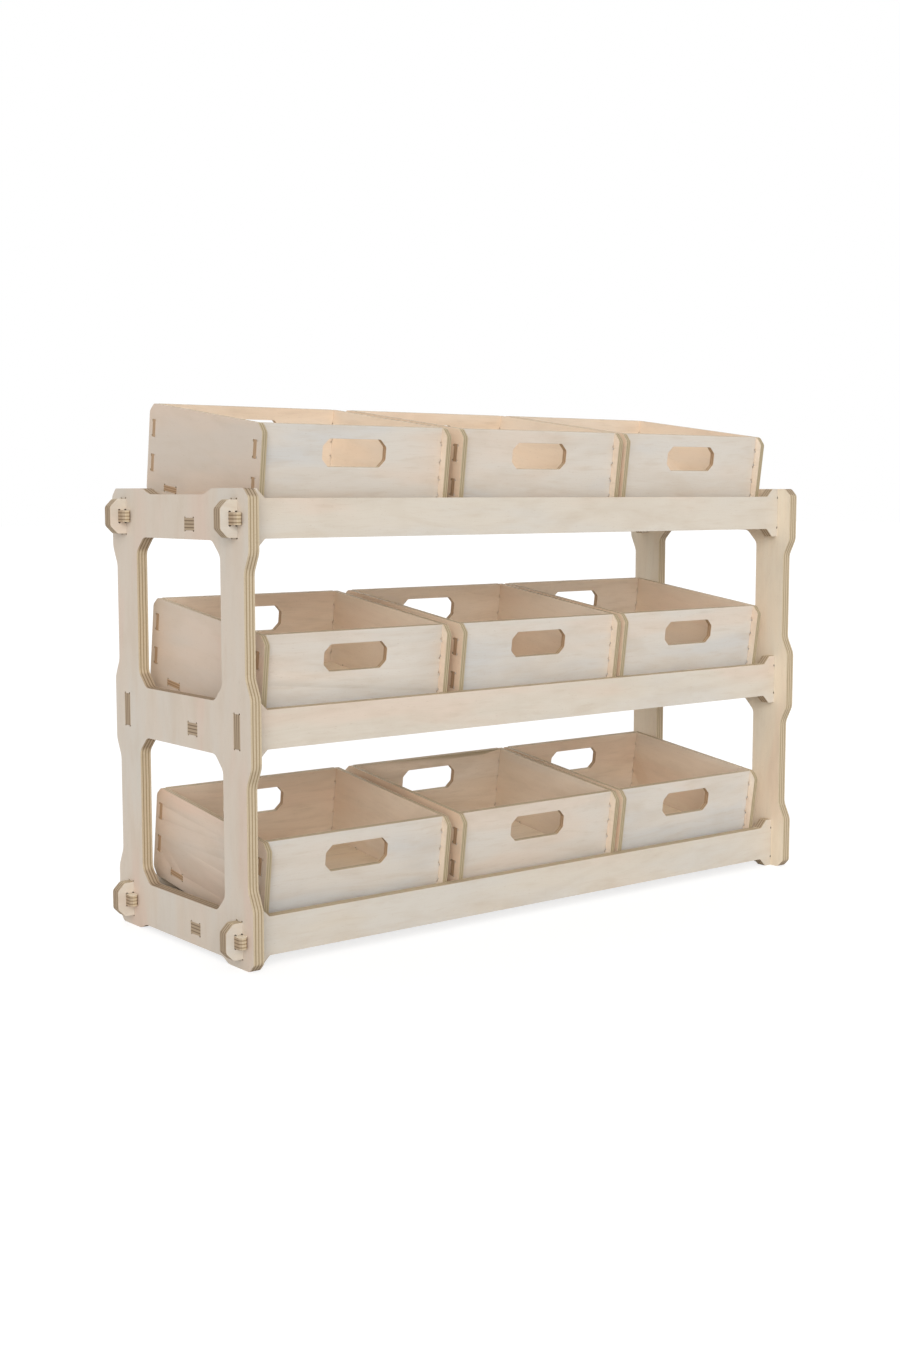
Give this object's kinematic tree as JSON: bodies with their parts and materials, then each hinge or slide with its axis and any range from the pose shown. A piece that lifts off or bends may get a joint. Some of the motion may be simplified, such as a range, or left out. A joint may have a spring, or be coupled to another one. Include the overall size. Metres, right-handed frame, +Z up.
{
  "type": "modular box shelf",
  "caption": "Free-standing plywood shelf with keyed rails and rows of tilted lift-out storage boxes.",
  "frame": {"origin": "on the floor, under the middle of the shelf", "axes": "+X along the shelf to the right as seen from the front, +Y from front to back, +Z up"},
  "size_m": [1.214, 0.408, 0.8275],
  "materials": {
    "end_ply": "matt birch plywood",
    "rail_ply": "matt birch plywood",
    "slat_ply": "matt birch plywood",
    "key_ply": "matt birch plywood",
    "box_side_ply": "matt birch plywood",
    "box_wall_ply": "matt birch plywood",
    "box_floor_ply": "matt birch plywood"
  },
  "bodies": {
    "shelf_frame": {"left_end_frame": "end_ply", "right_end_frame": "end_ply", "left_keys": "key_ply", "right_keys": "key_ply", "bottom_front_rail": "rail_ply", "bottom_back_rail": "rail_ply", "bottom_slat": "slat_ply", "middle_front_rail": "rail_ply", "middle_back_rail": "rail_ply", "middle_slat": "slat_ply", "top_front_rail": "rail_ply", "top_back_rail": "rail_ply", "top_slat": "slat_ply"},
    "bottom_left_box": {"bottom_left_box_left_side": "box_side_ply", "bottom_left_box_right_side": "box_side_ply", "bottom_left_box_front": "box_wall_ply", "bottom_left_box_back": "box_wall_ply", "bottom_left_box_floor": "box_floor_ply"},
    "bottom_centre_box": {"bottom_centre_box_left_side": "box_side_ply", "bottom_centre_box_right_side": "box_side_ply", "bottom_centre_box_front": "box_wall_ply", "bottom_centre_box_back": "box_wall_ply", "bottom_centre_box_floor": "box_floor_ply"},
    "bottom_right_box": {"bottom_right_box_left_side": "box_side_ply", "bottom_right_box_right_side": "box_side_ply", "bottom_right_box_front": "box_wall_ply", "bottom_right_box_back": "box_wall_ply", "bottom_right_box_floor": "box_floor_ply"},
    "middle_left_box": {"middle_left_box_left_side": "box_side_ply", "middle_left_box_right_side": "box_side_ply", "middle_left_box_front": "box_wall_ply", "middle_left_box_back": "box_wall_ply", "middle_left_box_floor": "box_floor_ply"},
    "middle_centre_box": {"middle_centre_box_left_side": "box_side_ply", "middle_centre_box_right_side": "box_side_ply", "middle_centre_box_front": "box_wall_ply", "middle_centre_box_back": "box_wall_ply", "middle_centre_box_floor": "box_floor_ply"},
    "middle_right_box": {"middle_right_box_left_side": "box_side_ply", "middle_right_box_right_side": "box_side_ply", "middle_right_box_front": "box_wall_ply", "middle_right_box_back": "box_wall_ply", "middle_right_box_floor": "box_floor_ply"},
    "top_left_box": {"top_left_box_left_side": "box_side_ply", "top_left_box_right_side": "box_side_ply", "top_left_box_front": "box_wall_ply", "top_left_box_back": "box_wall_ply", "top_left_box_floor": "box_floor_ply"},
    "top_centre_box": {"top_centre_box_left_side": "box_side_ply", "top_centre_box_right_side": "box_side_ply", "top_centre_box_front": "box_wall_ply", "top_centre_box_back": "box_wall_ply", "top_centre_box_floor": "box_floor_ply"},
    "top_right_box": {"top_right_box_left_side": "box_side_ply", "top_right_box_right_side": "box_side_ply", "top_right_box_front": "box_wall_ply", "top_right_box_back": "box_wall_ply", "top_right_box_floor": "box_floor_ply"}
  },
  "joints": [
    {"name": "bottom_left_box_lift", "type": "slide", "parent": "shelf_frame", "child": "bottom_left_box", "axis": [0, -0.129, 0.9916], "range_m": [0, 0.125]},
    {"name": "bottom_centre_box_lift", "type": "slide", "parent": "shelf_frame", "child": "bottom_centre_box", "axis": [0, -0.129, 0.9916], "range_m": [0, 0.125]},
    {"name": "bottom_right_box_lift", "type": "slide", "parent": "shelf_frame", "child": "bottom_right_box", "axis": [0, -0.129, 0.9916], "range_m": [0, 0.125]},
    {"name": "middle_left_box_lift", "type": "slide", "parent": "shelf_frame", "child": "middle_left_box", "axis": [0, -0.129, 0.9916], "range_m": [0, 0.125]},
    {"name": "middle_centre_box_lift", "type": "slide", "parent": "shelf_frame", "child": "middle_centre_box", "axis": [0, -0.129, 0.9916], "range_m": [0, 0.125]},
    {"name": "middle_right_box_lift", "type": "slide", "parent": "shelf_frame", "child": "middle_right_box", "axis": [0, -0.129, 0.9916], "range_m": [0, 0.125]},
    {"name": "top_left_box_lift", "type": "slide", "parent": "shelf_frame", "child": "top_left_box", "axis": [0, -0.129, 0.9916], "range_m": [0, 0.2]},
    {"name": "top_centre_box_lift", "type": "slide", "parent": "shelf_frame", "child": "top_centre_box", "axis": [0, -0.129, 0.9916], "range_m": [0, 0.2]},
    {"name": "top_right_box_lift", "type": "slide", "parent": "shelf_frame", "child": "top_right_box", "axis": [0, -0.129, 0.9916], "range_m": [0, 0.2]}
  ]
}
